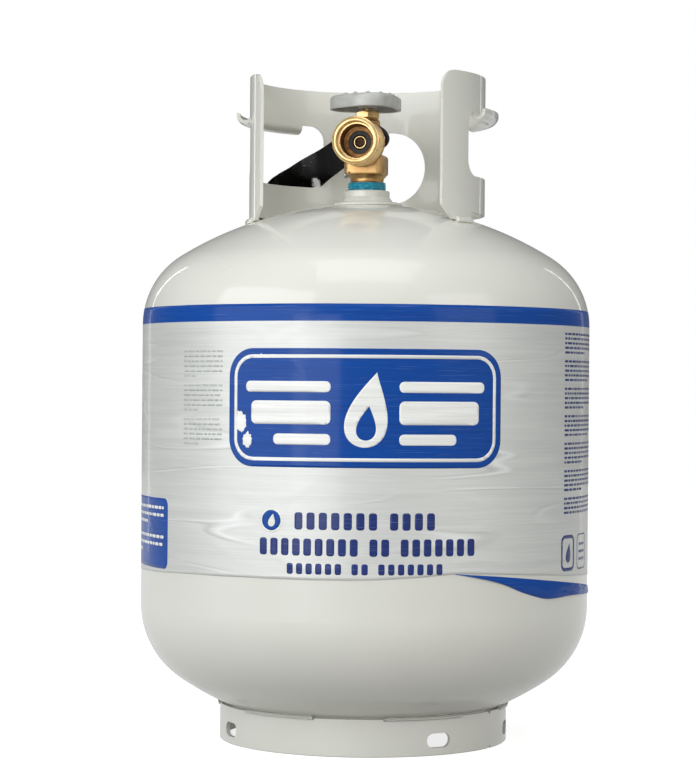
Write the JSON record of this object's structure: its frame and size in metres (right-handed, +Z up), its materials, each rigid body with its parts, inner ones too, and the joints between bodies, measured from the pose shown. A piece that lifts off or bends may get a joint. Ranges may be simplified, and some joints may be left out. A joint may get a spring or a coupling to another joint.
{
  "type": "propane tank",
  "caption": "Upright steel propane cylinder with a C-shaped guard collar, foot ring, brass valve with threaded outlet, grey handwheel and printed film label.",
  "frame": {"origin": "centre of the foot ring's bottom edge, on the tank's axis, on the floor", "axes": "+Z up along the tank's axis, -Y to the front where the collar is open and the outlet points"},
  "size_m": [0.3115, 0.3106, 0.458],
  "materials": {
    "tank_paint": "gloss",
    "brass": "satin",
    "thread_compound": "satin",
    "zinc_casting": "matte",
    "steel": "satin",
    "black_rubber": "matte",
    "black_plastic": "gloss",
    "nylon": "matte",
    "float_foam": "matte",
    "label_film": "satin",
    "label_blue": "satin"
  },
  "bodies": {
    "tank": {"upper_shell": "tank_paint", "lower_shell": "tank_paint", "girth_weld": "tank_paint", "foot_ring": "tank_paint", "foot_ring_welds": "tank_paint", "collar": "tank_paint", "collar_welds": "tank_paint", "valve_spud": "tank_paint", "spud_weld": "tank_paint", "thread_sealant": "thread_compound", "valve_body": "brass", "gland_nut": "brass", "gland_washer": "brass", "stem_seal": "black_rubber", "outlet_seal": "black_rubber", "outlet_spring": "steel", "relief_spring": "steel", "relief_retainer": "brass", "level_tube": "nylon", "opd_housing": "brass", "opd_pivot_pin": "steel", "label_wrap": "label_film", "label_flap": "label_blue"},
    "handwheel": {"handwheel": "zinc_casting", "handwheel_screw": "steel", "valve_stem": "brass"},
    "seat_holder": {"seat_holder": "brass", "seat_seal": "nylon"},
    "outlet_check": {"outlet_poppet": "brass"},
    "relief_valve": {"relief_poppet": "brass"},
    "bleed_screw": {"bleed_screw": "steel"},
    "float_arm": {"opd_float_arm": "nylon", "opd_float": "float_foam"},
    "opd_piston": {"opd_piston": "brass"},
    "tether": {"tether_ring": "black_rubber", "tether_strap": "black_plastic"},
    "dust_plug": {"dust_plug": "black_plastic"}
  },
  "joints": [
    {"name": "handwheel_turn", "type": "hinge", "parent": "tank", "child": "handwheel", "pos_m": [0, 0, 0.437], "axis": [0, 0, 1], "range_deg": [0, 720]},
    {"name": "seat_lift", "type": "slide", "parent": "tank", "child": "seat_holder", "axis": [0, 0, 1], "range_m": [0, 0.0025]},
    {"name": "outlet_check_push", "type": "slide", "parent": "tank", "child": "outlet_check", "axis": [0, 1, 0], "range_m": [0, 0.003], "stiffness_N_per_m": 800, "springref_m": -0.004, "deforming": ["outlet_spring"]},
    {"name": "relief_lift", "type": "slide", "parent": "tank", "child": "relief_valve", "axis": [0, 1, 0], "range_m": [0, 0.0025], "stiffness_N_per_m": 2000, "springref_m": -0.006, "deforming": ["relief_spring"]},
    {"name": "bleed_screw_turn", "type": "hinge", "parent": "tank", "child": "bleed_screw", "pos_m": [-0.0156, 0, 0.3926], "axis": [-1, 0, 0], "range_deg": [0, 360]},
    {"name": "float_swing", "type": "hinge", "parent": "tank", "child": "float_arm", "pos_m": [0.0032, 0, 0.305], "axis": [0, -1, 0], "range_deg": [0, 75]},
    {"name": "opd_piston_lift", "type": "slide", "parent": "tank", "child": "opd_piston", "axis": [0, 0, 1], "range_m": [0, 0.003]},
    {"name": "tether_swing", "type": "hinge", "parent": "tank", "child": "tether", "pos_m": [0, 0, 0.418], "axis": [0, 0, 1], "range_deg": [0, 18]},
    {"name": "plug_spin", "type": "hinge", "parent": "tether", "child": "dust_plug", "pos_m": [-0.08446, 0.05718, 0.369], "axis": [-0.8281, 0.5606, 0], "continuous": true}
  ],
  "couplings": [
    {"joint": "seat_lift", "follows": "handwheel_turn", "m_per_rad": 0.00019855},
    {"joint": "opd_piston_lift", "follows": "float_swing", "m_per_rad": 0.0022872}
  ]
}
